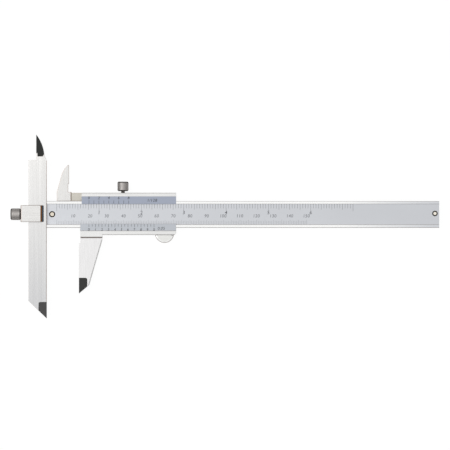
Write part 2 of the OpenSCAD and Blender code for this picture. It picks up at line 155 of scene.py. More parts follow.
def metal(name, look, run=None):
    # ground or satin metal: fine grain that is long in one direction, plus soft broad patches
    look = {**metalLook, **look}
    material, tree, shader = newMaterial(name)
    where = addNode(tree, "ShaderNodeTexCoord").outputs["Object"]
    stretch = addNode(tree, "ShaderNodeMapping", {"Vector": where, "Scale": look["grain"]})
    grain = addNode(tree, "ShaderNodeTexNoise", {"Vector": stretch, "Scale": 1, "Detail": 3})
    patches = addNode(tree, "ShaderNodeTexNoise", {"Vector": where, "Scale": look["patchScale"],
                                                   "Detail": 2})
    share, change, reach = look["patchShare"], look["change"], look["shadeReach"]
    centre = (1 + share) / 2
    lift = mapRange(tree, maths(tree, "MULTIPLY_ADD", patches, share, grain),
                    centre - reach, centre + reach, 1 - change, 1 + change)
    shade = look["tone"][:3]
    if run:
        # the tone runs evenly to a second one along that axis of the piece
        axis, start, end = run
        apart = addNode(tree, "ShaderNodeSeparateXYZ", {"Vector": where})
        along = mapRange(tree, apart.outputs[axis], start * mm, end * mm)
        mixed = addNode(tree, "ShaderNodeMix", data_type="RGBA", fields={
            "Factor": along, "A_Color": look["tone"], "B_Color": look["farTone"]})
        shade = socket(mixed.outputs, "Result_Color")
    colour = addNode(tree, "ShaderNodeVectorMath", {"Vector": shade, "Scale": lift},
                     operation="SCALE")
    bump = addNode(tree, "ShaderNodeBump", {"Height": grain, "Strength": look["bump"],
                                            "Distance": look["bumpHeight"] * mm})
    dull, change, reach = look["roughness"], look["roughChange"], look["grainReach"]
    rough = mapRange(tree, grain, 0.5 - reach, 0.5 + reach, dull - change, dull + change)
    fill(shader, {"Base Color": colour, "Metallic": 1, "Specular Tint": look["edgeTint"],
                  "Roughness": rough, "Normal": bump})
    arrange(tree)
    return material


def evenMetal(name, shade, roughness=0.3, change=0.03, **more):
    # for rims and small pieces, with grain that runs no way
    return metal(name, {"tone": shade, "roughness": roughness, "change": change,
                        "grain": evenGrain, **more})


# meshes

edgeLook = {
    "tone": tone(178, 169, 163),    # of most broken edges, painted darker: a painted dark reflection
    "weld": 0.002,                  # corners closer than this become one
    "flat": 0.6,                    # faces that turn less than this, in degrees, become one
    "sharp": 32,                    # edges that turn more than this are broken,
    "longEnough": 0.45,             # if they are longer than this or than four times the break
    "sliver": 0.004,                # edges shorter than this close up
    "round": 18,                    # edges that turn less than this are shaded round
    "wholeSide": 20,                # a side's long edge is longer than this
}
# the broken edges' darker tone is a painted dark reflection along them
rimSteel = evenMetal("rimSteel", edgeLook["tone"])
upright, sloped = 0.9, 0.3          # the least rise of a normal that looks up, and up aslant


def addObject(name, data):
    made = bpy.data.objects.new(name, data)
    bpy.context.scene.collection.objects.link(made)
    return made


def bakedMesh(piece):
    # what an object's modifiers or its letters give, as a plain mesh
    bpy.context.view_layer.update()
    return bpy.data.meshes.new_from_object(
        piece.evaluated_get(bpy.context.evaluated_depsgraph_get()))


def extent(mesh):
    # the lowest and the highest corner of its box
    return [Vector([limit(vertex.co[axis] for vertex in mesh.vertices) for axis in range(3)])
            for limit in (min, max)]


def shadeRound(mesh, degrees):
    mesh.polygons.foreach_set("use_smooth", [True] * len(mesh.polygons))
    mesh.set_sharp_from_angle(angle=math.radians(degrees))


def meshFrom(bm, name, materials):
    mesh = bpy.data.meshes.new(name)
    bm.to_mesh(mesh)
    bm.free()
    for material in materials:
        mesh.materials.append(material)
    shadeRound(mesh, edgeLook["round"])
    return addObject(name, mesh)


def middleOf(line):
    return (line.verts[0].co + line.verts[1].co) / 2 / mm


def isWholeSide(line):
    return line.calc_length() > edgeLook["wholeSide"] * mm


def isSharp(line, width):
    return (line.is_manifold and line.is_convex
            and line.calc_face_angle() > math.radians(edgeLook["sharp"])
            and line.calc_length() > min(4 * width, edgeLook["longEnough"]) * mm)


def breakEdges(bm, lines, width, segments, finish):
    strips = bmesh.ops.bevel(bm, geom=lines, offset=width * mm, offset_type="OFFSET",
                             segments=segments, profile=0.5, affect="EDGES", clamp_overlap=True,
                             material=-1)
    if finish is not None:
        for face in strips["faces"]:
            face.material_index = finish


def finishedCopy(name, node, body, materials, edge, pick=None, crisp=None, rim=None,
                 chamfers=()):
    # the solid of that node with its sharp edges broken, and its faces given their finishes:
    # pick numbers a face's finish, crisp keeps an edge as it is, and the breaks are rim
    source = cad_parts[node].data
    bm = bmesh.new()
    bm.from_mesh(source)
    bmesh.ops.remove_doubles(bm, verts=bm.verts, dist=edgeLook["weld"] * mm)
    bmesh.ops.dissolve_limit(bm, angle_limit=math.radians(edgeLook["flat"]), verts=bm.verts,
                             edges=bm.edges, use_dissolve_boundaries=False)
    bm.normal_update()
    if pick:
        for face in bm.faces:
            face.material_index = pick(face.calc_center_median() / mm, face.normal)
    rimFinish = len(materials) if rim else None
    for width, chosen in chamfers:
        breakEdges(bm, [line for line in bm.edges if chosen(line)], width, 1, rimFinish)
    sharp = [line for line in bm.edges if isSharp(line, edge) and not (crisp and crisp(line))]
    breakEdges(bm, sharp, edge, 2, rimFinish)
    # edges without length and faces without area close up
    bmesh.ops.dissolve_degenerate(bm, dist=edgeLook["sliver"] * mm, edges=bm.edges)
    # rounding must not carry a corner past the solid's own box
    low, high = extent(source)
    for vertex in bm.verts:
        for axis in range(3):
            vertex.co[axis] = min(max(vertex.co[axis], low[axis]), high[axis])
    piece = meshFrom(bm, name, materials + [rim] if rim else materials)
    # each flat face keeps its own direction, and only the broken edges are shaded round
    weighted = piece.modifiers.new("weighted", "WEIGHTED_NORMAL")
    weighted.keep_sharp = True
    weighted.weight = 100
    mesh = bakedMesh(piece)
    piece.modifiers.clear()
    piece.data = mesh
    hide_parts(node)
    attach(piece, body)


def joined(name, parts, materials, body):
    # several meshes with their places become one plain piece on a body
    bm = bmesh.new()
    for mesh, place in parts:
        mesh.transform(place)
        bm.from_mesh(mesh)
        bpy.data.meshes.remove(mesh)
    piece = meshFrom(bm, name, materials)
    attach(piece, body)


# geometry trees, each with named inputs, that end in Realize Instances and Set Material

def newTree(name, inputs):
    tree = bpy.data.node_groups.new(name, "GeometryNodeTree")
    tree.interface.new_socket("Geometry", in_out="OUTPUT", socket_type="NodeSocketGeometry")
    for title, kind in {**inputs, "Finish": "Material"}.items():
        tree.interface.new_socket(title, in_out="INPUT", socket_type="NodeSocket" + kind)
    return tree, addNode(tree, "NodeGroupInput").outputs


def endTree(tree, given, made):
    real = addNode(tree, "GeometryNodeRealizeInstances", {"Geometry": made})
    finish = addNode(tree, "GeometryNodeSetMaterial", {"Geometry": real,
                                                       "Material": given["Finish"]})
    addNode(tree, "NodeGroupOutput", {"Geometry": finish})
    arrange(tree)
    return tree


def runTree(piece, tree, values):
    # sets the tree's inputs by their identifiers and gives back the plain mesh that it makes
    fields = {item.name: item.identifier for item in tree.interface.items_tree
              if item.item_type == "SOCKET" and item.in_out == "INPUT"}
    steps = piece.modifiers.new("tree", "NODES")
    steps.node_group = tree
    for title, value in values.items():
        steps[fields[title]] = value
    made = bakedMesh(piece)
    piece.modifiers.clear()
    return made


# beam

beamLook = {
    "rail": {"tone": tone(243, 243, 242), "farTone": tone(202, 204, 208), "roughness": 0.14,
             "change": 0.02, "grain": (40, 3000, 3000)},
    "railFade": 60,                 # length of the rails' painted shade, which darkens them over this stretch at the free end
    "satin": {"tone": tone(196, 198, 202), "farTone": tone(201, 203, 207), "roughness": 0.42,
              "change": 0.018, "bump": 0.12, "grain": (3800, 3800, 3800), "patchScale": 30,
              "patchShare": 0.9},
    "satinRun": (20, 128),          # from the measuring face, over which the graduated face is painted a little lighter: painted light
    # dark rings round the clamp pin and the stop pin: painted shade in their countersinks
    "rings": (tone(62, 48, 38), tone(88, 82, 74)),
    "ringFinish": {"roughness": 0.4, "change": 0.06},
    "ringRadius": 2.2,
    "recess": 0.1,                  # the graduated face lies at least this far below the rails
    "railWidth": 0.4,               # at least
    "pins": (tone(214, 205, 190), tone(236, 230, 217)),
    "pinDrop": 0.01,                # from the graduated face down to a pin's end
    # the rails' broken edges are painted darker: a painted dark reflection
    "rim": tone(176, 172, 170),
    "edge": 0.22, "pinEdge": 0.1,
    "upperInside": 0.14, "lowerInside": 0.3,        # chamfers of the two rails
    "upperOutside": 0.2, "lowerOutside": 0.28,
}
# the rails' tone runs to a darker painted shade towards the free end
brightRail = metal("brightRail", beamLook["rail"],
                   ("X", beamBox[1].x - beamLook["railFade"], beamBox[1].x))
# the graduated face is painted a little lighter along the beam, as painted light
satinFace = metal("satinFace", beamLook["satin"],
                  ("X", *(measureX + place for place in beamLook["satinRun"])))
railRim = evenMetal("railRim", beamLook["rim"])
ringShades = [evenMetal("ringShade", shade, **beamLook["ringFinish"])
              for shade in beamLook["rings"]]
pinSteels = [evenMetal("pinSteel", shade) for shade in beamLook["pins"]]
pinBoxes = [boxOf("clamp_pin"), boxOf("stop_pin")]
satinZ = pinBoxes[0][1].z + beamLook["pinDrop"]         # height of the graduated face


def beamFinish(centre, normal):
    if normal.z > upright:
        return 1 if centre.z < beamBox[1].z - beamLook["recess"] else 0
    # sloped faces near a pin take its ring's painted shade
    for number, (low, high) in enumerate(pinBoxes):
        apart = centre.xy - ((low + high) / 2).xy
        if apart.length < beamLook["ringRadius"] and normal.z > sloped:
            return 2 + number
    return 0


def railEdge(low, high):
    # a test for the beam's long edges between those two places across it
    def chosen(line):
        return isWholeSide(line) and line.is_convex and low < middleOf(line).y < high
    return chosen


lowSide, highSide, railWidth = beamBox[0].y, beamBox[1].y, beamLook["railWidth"]
upperInside = railEdge(beamY, highSide - railWidth)
finishedCopy("Beam", "beam", "beam", [brightRail, satinFace, *ringShades],
             beamLook["edge"], beamFinish, upperInside, railRim,
             [(beamLook["upperInside"], upperInside),
              (beamLook["lowerInside"], railEdge(lowSide + railWidth, beamY)),
              (beamLook["upperOutside"], railEdge(highSide - near, highSide + near)),
              (beamLook["lowerOutside"], railEdge(lowSide - near, lowSide + near))])
for pieceName, pinNode, steel in (("ClampPin", "clamp_pin", pinSteels[0]),
                                  ("StopPin", "stop_pin", pinSteels[1])):
    finishedCopy(pieceName, pinNode, "beam", [steel], beamLook["pinEdge"])
print("beam and pins made")


# marks and numerals: one tree for the four scales

inkLook = {
    "black": tone(38, 40, 44), "grey": tone(96, 98, 103), "pale": tone(136, 138, 143),
    "roughness": 0.55,
    "proud": 0.012,                 # how far ink stands above the metal
    "depth": 0.04,
    "spacing": 1.04,                # of the digits in one number
}


def ink(name, shade):
    material, tree, shader = newMaterial(name)
    fill(shader, {"Base Color": shade, "Roughness": inkLook["roughness"]})
    arrange(tree)
    return material


def graduationTree():
    # a row of marks along X, which hang from the row or stand on it, some longer than others
    tree, given = newTree("graduations", {
        "Marks": "Int", "Pitch": "Float", "Short": "Float", "Middle": "Float", "Long": "Float",
        "Middle every": "Int", "Long every": "Int", "Line width": "Float",
        "Line depth": "Float", "Side": "Float"})
    step = addNode(tree, "ShaderNodeCombineXYZ", {"X": given["Pitch"]})
    row = addNode(tree, "GeometryNodeMeshLine", {"Count": given["Marks"], "Offset": step},
                  mode="OFFSET")
    number = addNode(tree, "GeometryNodeInputIndex")

    def pickLength(every, no, yes):
        left = addNode(tree, "FunctionNodeIntegerMath", {0: number, 1: given[every]},
                       operation="MODULO")
        isOne = addNode(tree, "FunctionNodeCompare", {"A_INT": left}, data_type="INT",
                        operation="EQUAL")
        return addNode(tree, "GeometryNodeSwitch", {"Switch": isOne, "False": no, "True": yes},
                       input_type="FLOAT")

    shorter = pickLength("Middle every", given["Short"], given["Middle"])
    length = pickLength("Long every", shorter, given["Long"])
    size = addNode(tree, "ShaderNodeCombineXYZ", {"X": given["Line width"], "Y": 1,
                                                  "Z": given["Line depth"]})
    line = addNode(tree, "GeometryNodeMeshCube", {"Size": size})
    side = addNode(tree, "ShaderNodeCombineXYZ", {"Y": maths(tree, "MULTIPLY", given["Side"], 0.5)})
    hung = addNode(tree, "GeometryNodeTransform", {"Geometry": line, "Translation": side})
    grown = addNode(tree, "ShaderNodeCombineXYZ", {"X": 1, "Y": length, "Z": 1})
    marks = addNode(tree, "GeometryNodeInstanceOnPoints", {"Points": row, "Instance": hung,
                                                           "Scale": grown})
    return endTree(tree, given, marks)


blackInk, greyInk, paleInk = (ink(shade + "Ink", inkLook[shade])
                              for shade in ("black", "grey", "pale"))
graduations = graduationTree()


def graduation(count, pitch, lengths, every, width, side=-1.0):
    # side -1 hangs the marks from their line, and 1 stands them on it
    values = {"Marks": count, "Pitch": pitch * mm, "Middle every": every[0], "Side": side,
              "Long every": every[1], "Line width": width * mm,
              "Line depth": inkLook["depth"] * mm, "Finish": blackInk}
    values.update(zip(("Short", "Middle", "Long"), (length * mm for length in lengths)))
    holder = addObject("holder", bpy.data.meshes.new("holder"))
    marks = runTree(holder, graduations, values)
    bpy.data.objects.remove(holder)
    return marks


def placed(x, y, z, tilt=0):
    turn = Matrix.Rotation(math.radians(tilt), 4, "X")
    sink = Matrix.Translation((0, 0, (inkLook["proud"] - inkLook["depth"] / 2) * mm))
    return Matrix.Translation(Vector((x, y, z)) * mm) @ turn @ sink


def numeral(text, height, slant, boldness=0.0):
    # one number as a thin solid, its middle on the origin
    curve = bpy.data.curves.new("numeral", "FONT")
    curve.body = text
    curve.align_x = "CENTER"
    curve.size = 1
    curve.shear = slant
    curve.offset = boldness
    curve.resolution_u = 3
    curve.space_character = inkLook["spacing"]
    holder = addObject("numeral", curve)
    mesh = bakedMesh(holder)
    bpy.data.objects.remove(holder)
    bpy.data.curves.remove(curve)
    low, high = extent(mesh)
    mesh.transform(Matrix.Scale(height * mm / (high.y - low.y), 4)
                   @ Matrix.Translation(-(low + high) / 2))
    depth = inkLook["depth"] * mm
    bm = bmesh.new()
    bm.from_mesh(mesh)
    raised = bmesh.ops.extrude_face_region(bm, geom=bm.faces[:])["geom"]
    bmesh.ops.translate(bm, vec=(0, 0, depth),
                        verts=[part for part in raised if isinstance(part, bmesh.types.BMVert)])
    bmesh.ops.translate(bm, vec=(0, 0, -depth / 2), verts=bm.verts)
    bmesh.ops.recalc_face_normals(bm, faces=bm.faces)
    bm.to_mesh(mesh)
    bm.free()
    return mesh


# main scales on the beam

scaleLook = {
    "zero": 6.0,                    # both scales start this far from the measuring face
    "upperEdge": 6.25, "lowerEdge": -6.0,           # where marks end, from the beam's middle
    "inches": 7, "inchParts": 16, "millimetres": 150,
    "inchMarks": (2.6, 3.3, 4.3), "inchEvery": (4, 16),     # sixteenths, quarters and inches
    "mmMarks": (2.15, 2.8, 2.8), "mmEvery": (5, 10),        # ones, fives and tens
    "lineWidth": 0.13,
    "inchNumeral": 2.1, "inchNumeralY": 1.15, "inchBoldness": 0.01,
    "mmNumeral": 1.9, "mmNumeralY": -0.85,
    "slant": 0.1,
}


def onBeam(along, across):
    return placed(measureX + scaleLook["zero"] + along, beamY + across, satinZ)


inchParts = scaleLook["inchParts"]
inchMarks = graduation(inchParts * scaleLook["inches"] + 1, inch / inchParts,
                       scaleLook["inchMarks"], scaleLook["inchEvery"], scaleLook["lineWidth"])
mmMarks = graduation(scaleLook["millimetres"] + 1, 1, scaleLook["mmMarks"],
                     scaleLook["mmEvery"], scaleLook["lineWidth"], 1.0)
mmMarks.polygons.foreach_set("material_index", [1] * len(mmMarks.polygons))
faintParts = [(mmMarks, onBeam(0, scaleLook["lowerEdge"]))]
for count in range(1, scaleLook["inches"]):
    faintParts.append((numeral(str(count), scaleLook["inchNumeral"], scaleLook["slant"],
                               scaleLook["inchBoldness"]),
                       onBeam(inch * count, scaleLook["inchNumeralY"])))
for count in range(10, scaleLook["millimetres"] + 1, 10):
    faintParts.append((numeral(str(count), scaleLook["mmNumeral"], scaleLook["slant"]),
                       onBeam(count, scaleLook["mmNumeralY"])))
joined("InchMarks", [(inchMarks, onBeam(0, scaleLook["upperEdge"]))], [blackInk], "beam")
joined("MillimetreMarks", faintParts, [greyInk, paleInk], "beam")
print("main scales made")


# verniers

vernierLook = {
    "satin": {"change": 0.02, "roughness": 0.45, "grain": (3800, 3800, 3800), "patchScale": 60},
    "edge": 0.06,
    "seam": 0.14,                   # along the lower plate's outer edge, whose dark rim is a painted shadow along the seam
    "zero": 6.0,                    # distance of both zeros from the jaw's measuring face
    "lineWidth": 0.19, "slant": 0.12,
    "markIn": 0.12,                 # from the window's edge, as the other places with In
    "unitSize": 1.1,                # against the numerals
    # the upper plate's darker, bluer tone is a painted reflection of its slope; both plates are
    # otherwise one satin steel
    "upper": {"tone": tone(179, 186, 202), "marks": 8, "pitch": 15 / 16 * inch / 8,
              "lengths": (2.0, 2.0, 2.3), "numbers": "02468", "numeral": 1.65,
              "numeralIn": 3.65, "unit": "1/128", "unitX": 44.1, "unitIn": 2.2},
    "lower": {"tone": tone(193, 197, 203), "marks": 20, "pitch": 1.95,
              "lengths": (1.5, 1.9, 1.9), "numbers": "01234567890", "numeral": 1.6,
              "numeralIn": 3.35, "unit": "0.05", "unitX": 49.4, "unitIn": 2.6},
}
lowerEdge = boxOf("lower_vernier_plate")[0].y
upperSatin, lowerSatin = (
    metal(side + "Satin", {**vernierLook["satin"], "tone": vernierLook[side]["tone"]})
    for side in ("upper", "lower"))


def seamEdge(line):
    # the lower plate's outer edge, a real seam beside the bright flat with a painted shadow along
    # it
    return isWholeSide(line) and middleOf(line).y < lowerEdge + near


def vernierMarks(look, node, outward):
    # one plate's marks, numbers and unit, which lie on its slope
    low, high = boxOf(node)
    inner, outer = (low.y, high.y) if outward > 0 else (high.y, low.y)
    innerZ, outerZ = (max(corner.z for corner in cornersOf(node) if abs(corner.y - edge) < near)
                      for edge in (inner, outer))
    climb = (outerZ - innerZ) / abs(outer - inner)

    def onPlate(x, fromEdge):
        return placed(jawX + x, inner + outward * fromEdge, innerZ + climb * fromEdge,
                      outward * math.degrees(math.atan(climb)))

    slant, zero = vernierLook["slant"], vernierLook["zero"]
    every = (2, 2 * look["marks"])          # every second mark is longer, and the zero longest
    marks = graduation(look["marks"] + 1, look["pitch"], look["lengths"], every,
                       vernierLook["lineWidth"], float(outward))
    parts = [(marks, onPlate(zero, vernierLook["markIn"]))]
    for count, text in enumerate(look["numbers"]):
        parts.append((numeral(text, look["numeral"], slant),
                      onPlate(zero + look["pitch"] * every[0] * count, look["numeralIn"])))
    parts.append((numeral(look["unit"], look["numeral"] * vernierLook["unitSize"], slant),
                  onPlate(look["unitX"], look["unitIn"])))
    return parts


finishedCopy("UpperVernierPlate", "upper_vernier_plate", "slider",
             [upperSatin], vernierLook["edge"])
finishedCopy("LowerVernierPlate", "lower_vernier_plate", "slider",
             [lowerSatin], vernierLook["edge"], rim=rimSteel,
             chamfers=[(vernierLook["seam"], seamEdge)])
joined("VernierMarks", vernierMarks(vernierLook["upper"], "upper_vernier_plate", 1)
       + vernierMarks(vernierLook["lower"], "lower_vernier_plate", -1), [blackInk], "slider")
print("verniers made")


# end clamp

clampLook = {
    "steel": {"tone": tone(210, 209, 207), "roughness": 0.3, "change": 0.03,
              "grain": (100, 2400, 2400)},
    # brown and dark: painted reflection on the steep end bevel
    "brown": tone(182, 118, 56), "dark": tone(112, 125, 136),
    "brownShare": 0.42,             # the left part of the steep bevel
    "blend": 0.06,                  # each way from there
    "bevelRoughness": 0.34,
    "edge": 0.3,
}
clampTop = boxOf("clamp_body")[1].z
bevelStart = max(corner.x for corner in cornersOf("clamp_body") if clampTop - corner.z < near)
bevelFoot = max(corner.x for corner in cornersOf("clamp_body") if corner.z > barBox[1].z)


def twoToneBevel():
    # the steep end bevel is painted brown along its upper edge and dark slate below it, a painted
    # reflection of dark, brown surroundings
    material, tree, shader = newMaterial("clampBevel")
    where = addNode(tree, "ShaderNodeTexCoord").outputs["Object"]
    apart = addNode(tree, "ShaderNodeSeparateXYZ", {"Vector": where})
    along = mapRange(tree, apart.outputs["X"], bevelStart * mm, bevelFoot * mm)
    ramp = addNode(tree, "ShaderNodeValToRGB", {0: along})
    share, blend = clampLook["brownShare"], clampLook["blend"]
    for stop, place, shade in zip(ramp.color_ramp.elements, (share - blend, share + blend),
                                  (clampLook["brown"], clampLook["dark"])):
        stop.position = place
        stop.color = shade
    fill(shader, {"Base Color": ramp, "Metallic": 1, "Roughness": clampLook["bevelRoughness"]})
    arrange(tree)
    return material


def clampFinish(centre, normal):
    return 1 if min(normal.x, normal.z) > sloped and centre.x > bevelStart - near else 0


def besideBevel(line):
    # the bevel's long edges, which run across the beam, stay crisp
    along = (line.verts[0].co - line.verts[1].co).normalized()
    return abs(along.y) > upright and any(face.material_index == 1 for face in line.link_faces)


finishedCopy("ClampBody", "clamp_body", "beam",
             [metal("clampSteel", clampLook["steel"]), twoToneBevel()], clampLook["edge"],
             clampFinish, besideBevel, rimSteel)
print("end clamp made")


# offset bar and the hard tips

barLook = {
    "steel": {"tone": tone(219, 218, 216), "farTone": tone(195, 195, 196), "roughness": 0.3,
              "change": 0.03, "grain": (1500, 9, 1500), "patchScale": 25, "patchShare": 0.15},
    # the bar's brown edge line is a painted reflection
    "rim": tone(206, 176, 158),
    "edge": 0.16, "measuringEdge": 0.16,
}
tipLook = {
    "carbide": {"change": 0.08, "roughness": 0.42, "grain": (1200, 1200, 1200),
                "patchScale": 120},
    "edge": 0.06,
    "BarLowerTip": tone(75, 74, 74), "BarUpperTip": tone(49, 50, 49),
    "SliderJawTip": tone(59, 59, 58),
}


def measuringEdge(line):
    # the long edges of the side that measures
    return isWholeSide(line) and line.is_convex and middleOf(line).x > measureX - near


groundBar = metal("groundBar", barLook["steel"], ("Y", barBox[1].y, barBox[0].y))
finishedCopy("OffsetBar", "offset_bar", "offset_bar", [groundBar],
             barLook["edge"], rim=evenMetal("barRim", barLook["rim"]),
             chamfers=[(barLook["measuringEdge"], measuringEdge)])
for pieceName, tipNode, tipBody in (("BarLowerTip", "bar_lower_tip", "offset_bar"),
                                    ("BarUpperTip", "bar_upper_tip", "offset_bar"),
                                    ("SliderJawTip", "slider_jaw_tip", "slider")):
    carbide = metal("carbide" + pieceName, {**tipLook["carbide"], "tone": tipLook[pieceName]})
    finishedCopy(pieceName, tipNode, tipBody, [carbide], tipLook["edge"])
print("offset bar and tips made")


# slider

sliderLook = {
    "finishes": {
        "groundBody": {"tone": tone(211, 210, 209), "roughness": 0.3, "change": 0.02,
                       "grain": (90, 2600, 2600)},
        "brightFlat": {"tone": tone(223, 223, 222), "roughness": 0.24, "change": 0.02,
                       "grain": (60, 2400, 2400)},
        "groundJaw": {"tone": tone(222, 221, 221), "roughness": 0.3, "change": 0.02,
                      "grain": (2600, 80, 2600)},
        # painted shade on the groove floor
        "grooveShade": {"tone": tone(132, 125, 122), "roughness": 0.4, "change": 0.05,
                        "grain": (200, 1500, 1500)},
        # a painted highlight for the jaw's sloped bevels
        "jawBevelHighlight": {"tone": tone(243, 243, 242), "roughness": 0.3, "change": 0.02,
                       "grain": (2600, 80, 2600)},
    },
    "edge": 0.15,
    "jawFrom": -13.4,               # the jaw lies below this, from the beam's middle
    "tipDrop": 0.35,                # from the jaw's face down to its hard tip
    "grooveDepth": 0.3,             # at least
}
slideTop = boxOf("slider_body")[1].z
jawTop = boxOf("slider_jaw_tip")[1].z + sliderLook["tipDrop"]


def sliderFinish(centre, normal):
    if normal.z > upright and centre.z > slideTop - near:
        return 1                            # bright flats beside the verniers
    if centre.y < beamY + sliderLook["jawFrom"]:
        if normal.z > upright and centre.z < jawTop - sliderLook["grooveDepth"]:
            return 3                        # groove floor, painted dark as shade
        # sloped jaw faces that face +X take a lighter copy of the jaw's steel: a painted highlight
        return 4 if normal.x > sloped and sloped < normal.z < upright else 2
    return 0


finishedCopy("SliderBody", "slider_body", "slider",
             [metal(name, look) for name, look in sliderLook["finishes"].items()],
             sliderLook["edge"], sliderFinish, rim=rimSteel)


# inside jaw on its arm

insideLook = {
    "jaw": {"tone": tone(212, 211, 209), "roughness": 0.32, "change": 0.02,
            "grain": (2200, 80, 2200)},
    # the set-back arm's darker, warmer tone is painted shade
    "arm": {"tone": tone(189, 185, 176), "roughness": 0.36, "change": 0.03,
            "grain": (80, 2200, 2200)},
    # a painted shadow line at the jaw's step, and painted dark reflection along the other broken
    # edges
    "rim": tone(180, 156, 140),
    "edge": 0.15, "stepEdge": 0.3,
}
insideTop = boxOf("inside_jaw")[1].z
armStep = max(corner.x for corner in cornersOf("inside_jaw")
              if corner.z > insideTop - near)           # where the thick jaw becomes the arm


def insideFinish(centre, normal):
    return 1 if centre.x > armStep and normal.z > upright else 0


def stepEdge(line):
    ends = [vertex.co / mm for vertex in line.verts]
    return all(end.z > insideTop - near and abs(end.x - armStep) < near for end in ends)


finishedCopy("InsideJaw", "inside_jaw", "slider",
             [metal("insideSteel", insideLook["jaw"]), metal("armSteel", insideLook["arm"])],
             insideLook["edge"], insideFinish, rim=evenMetal("warmRim", insideLook["rim"]),
             chamfers=[(insideLook["stepEdge"], stepEdge)])


# thumb rest

thumbLook = {
    "steel": {"tone": tone(224, 224, 221), "roughness": 0.3, "change": 0.02,
              "grain": (90, 2200, 2200)},
    # the sloped ring's lighter tone is a painted highlight
    "ring": {"shade": tone(243, 243, 242), "change": 0.01},
    "ringRise": (0.5, 0.985),       # of the sloped ring's normals
    "sideRise": 0.1,                # at most
    "edge": 0.12, "ringEdge": 0.3,
}


def onRing(rise):
    low, high = thumbLook["ringRise"]
    return low < rise < high


def thumbFinish(centre, normal):
    return 1 if onRing(normal.z) else 0


def thumbEdge(line):
    # where the sloped ring meets the side
    if not line.is_manifold or not line.is_convex:
        return False
    side, top = sorted(face.normal.z for face in line.link_faces)
    return abs(side) < thumbLook["sideRise"] and onRing(top)


finishedCopy("ThumbRest", "thumb_rest", "slider",
             [metal("thumbSteel", thumbLook["steel"]), evenMetal("thumbRimHighlight", **thumbLook["ring"])],
             thumbLook["edge"], thumbFinish, rim=rimSteel,
             chamfers=[(thumbLook["ringEdge"], thumbEdge)])
print("slider made")


# knurled screws: a turned blank, and one tree that cuts knurl and thread into it

headLook = {
    "steel": {"shade": tone(170, 166, 163), "roughness": 0.46, "change": 0.06},
    # the heads' dark chamfers are painted shade
    "chamferShade": {"shade": tone(96, 93, 90), "change": 0.05},
    "edgeTint": tone(20, 19, 18),   # seen along the surface, near black: painted shade on the heads' flanks
    "ridges": 30,                   # round the head
    "stepsPerRidge": 5,
    "knurlDepth": 0.09,
    "knurlLead": 1.0,               # how far a groove climbs for each unit that it goes round
    "threadPitch": 0.45, "threadDepth": 0.14,
    "rowsPerTurn": 4,               # of points, up the thread
    "chamfer": 0.6,                 # at both ends of the head
    "rim": 0.1,                     # plain bands beside the knurl
    "ledge": 0.2,                   # the least step from one radius to the next
    "fullWidth": 0.97,              # the least share of the head's radius that is full width
    "endRise": 0.95,                # the least rise of the normals of the head's flat end
    "round": 35,                    # edges that turn less than this are shaded round
}


def knurlTree():
    lengths = ("Ridges", "Knurl depth", "Climb", "Knurl from", "Knurl to", "Smallest radius",
               "Thread pitch", "Thread depth", "Thread from", "Thread to")
    tree, given = newTree("knurlAndThread",
                          {"Geometry": "Geometry", **dict.fromkeys(lengths, "Float")})
    where = addNode(tree, "GeometryNodeInputPosition")
    apart = addNode(tree, "ShaderNodeSeparateXYZ", {"Vector": where}).outputs
    height = apart["Z"]

    def sums(operation, *values):
        return maths(tree, operation, *values)

    def product(first, *others):
        for other in others:
            first = sums("MULTIPLY", first, other)
        return first

    def between(low, high):
        return product(sums("GREATER_THAN", height, given[low]),
                       sums("LESS_THAN", height, given[high]))

    flat = addNode(tree, "ShaderNodeCombineXYZ", {"X": apart["X"], "Y": apart["Y"]})
    outward = addNode(tree, "ShaderNodeVectorMath", {"Vector": flat}, operation="NORMALIZE")
    radius = addNode(tree, "ShaderNodeVectorMath", {"Vector": flat}, operation="LENGTH")
    turn = sums("DIVIDE", sums("ARCTAN2", apart["Y"], apart["X"]), 2 * math.pi)

    # two families of grooves that cross, each a zigzag round the head
    around = product(turn, given["Ridges"])
    climb = product(height, given["Climb"])
    right, left = (sums("PINGPONG", sums(way, around, climb), 0.5) for way in ("ADD", "SUBTRACT"))
    groove = sums("SUBTRACT", 1, product(sums("MINIMUM", right, left), 2))
    onHead = product(between("Knurl from", "Knurl to"),
                     sums("GREATER_THAN", radius.outputs["Value"], given["Smallest radius"]))
    knurl = product(groove, given["Knurl depth"], onHead)

    winding = sums("ADD", turn, sums("DIVIDE", height, given["Thread pitch"]))
    thread = product(sums("PINGPONG", winding, 0.5), 2, given["Thread depth"],
                     between("Thread from", "Thread to"))
    inward = addNode(tree, "ShaderNodeVectorMath", operation="SCALE", fields={
        "Vector": outward, "Scale": product(sums("ADD", knurl, thread), -1)})
    cut = addNode(tree, "GeometryNodeSetPosition", {"Geometry": given["Geometry"],
                                                    "Offset": inward})
    return endTree(tree, given, cut)


def turned(profile, steps):
    # a closed body of revolution round Z from (height, radius) points, first and last on the axis
    bm = bmesh.new()
    rings = []
    for height, radius in profile:
        if radius == 0:
            rings.append([bm.verts.new((0, 0, height * mm))])
            continue
        rings.append([bm.verts.new((radius * mm * math.cos(2 * math.pi * step / steps),
                                    radius * mm * math.sin(2 * math.pi * step / steps),
                                    height * mm)) for step in range(steps)])
    for below, above in zip(rings, rings[1:]):
        for step in range(steps):
            after = (step + 1) % steps
            ringCorners = [below[step % len(below)], below[after % len(below)],
                           above[after % len(above)], above[step % len(above)]]
            bm.faces.new(list(dict.fromkeys(ringCorners)))
    bmesh.ops.recalc_face_normals(bm, faces=bm.faces)
    mesh = bpy.data.meshes.new("turned")
    bm.to_mesh(mesh)
    bm.free()
    return mesh


